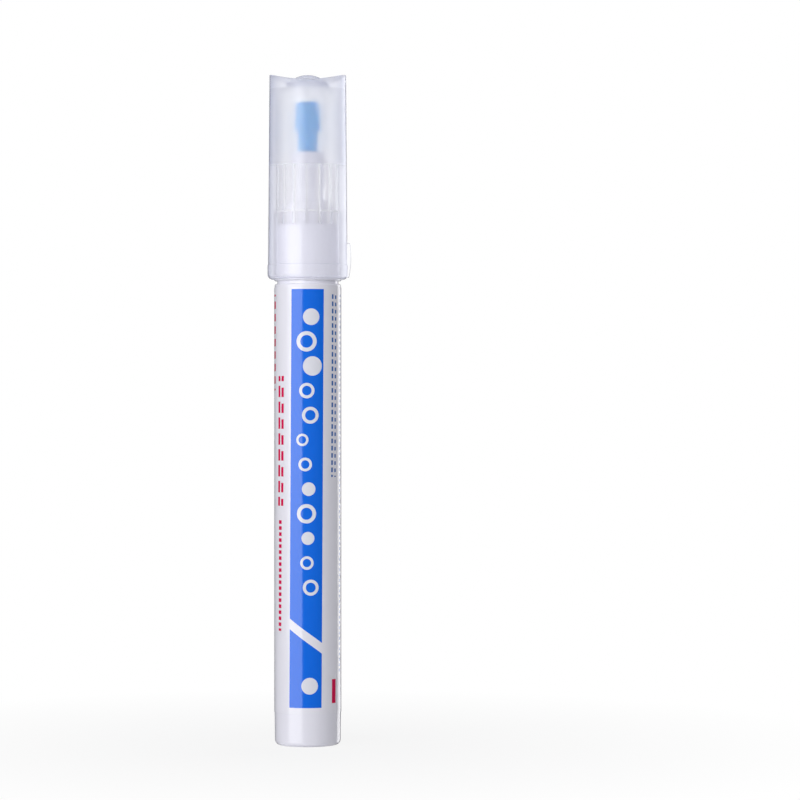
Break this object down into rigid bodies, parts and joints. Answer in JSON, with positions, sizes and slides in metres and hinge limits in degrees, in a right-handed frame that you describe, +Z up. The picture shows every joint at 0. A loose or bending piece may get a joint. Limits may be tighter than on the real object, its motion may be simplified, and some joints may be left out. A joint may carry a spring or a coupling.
{
  "type": "stain remover pen",
  "caption": "Upright pen with a fluid tank, a sprung valve, a blue chisel nib and a translucent pull-off cap with an anti-roll lug.",
  "frame": {"origin": "centre of the foot's flat underside, on the pen's axis", "axes": "+Z up the pen's axis to the cap, -Y out of the front of the label, +X towards the cap's anti-roll lug"},
  "size_m": [0.0175, 0.0168, 0.14],
  "materials": {
    "white_barrel": "moulded gloss",
    "printed_film": "printed gloss film",
    "white_front": "moulded satin gloss",
    "blue_nib": "translucent gloss",
    "white_valve": "moulded",
    "soft_seat": "soft moulded",
    "spring_steel": "drawn wire",
    "clear_cap": "translucent gloss",
    "clear_inner_cap": "translucent satin",
    "clear_fluid": "clear liquid"
  },
  "bodies": {
    "pen_body": {"barrel": "white_barrel", "label_sleeve": "printed_film", "front_section": "white_front", "valve_housing": "white_valve", "valve_seat": "soft_seat", "valve_spring": "spring_steel", "stain_remover_fluid": "clear_fluid"},
    "nib_body": {"nib": "blue_nib"},
    "valve_body": {"valve_stem": "white_valve"},
    "cap_body": {"cap_shell": "clear_cap", "inner_cap": "clear_inner_cap"}
  },
  "joints": [
    {"name": "cap_pull", "type": "slide", "parent": "pen_body", "child": "cap_body", "axis": [0, 0, 1], "range_m": [0, 0.045]},
    {"name": "nib_press", "type": "slide", "parent": "pen_body", "child": "nib_body", "axis": [0, 0, -1], "range_m": [0, 0.0018], "stiffness_N_per_m": 800, "springref_m": -0.0015},
    {"name": "valve_open", "type": "slide", "parent": "pen_body", "child": "valve_body", "axis": [0, 0, -1], "range_m": [0, 0.0018], "deforming": ["valve_spring"]}
  ],
  "couplings": [
    {"joint": "valve_open", "follows": "nib_press", "ratio": 1}
  ]
}
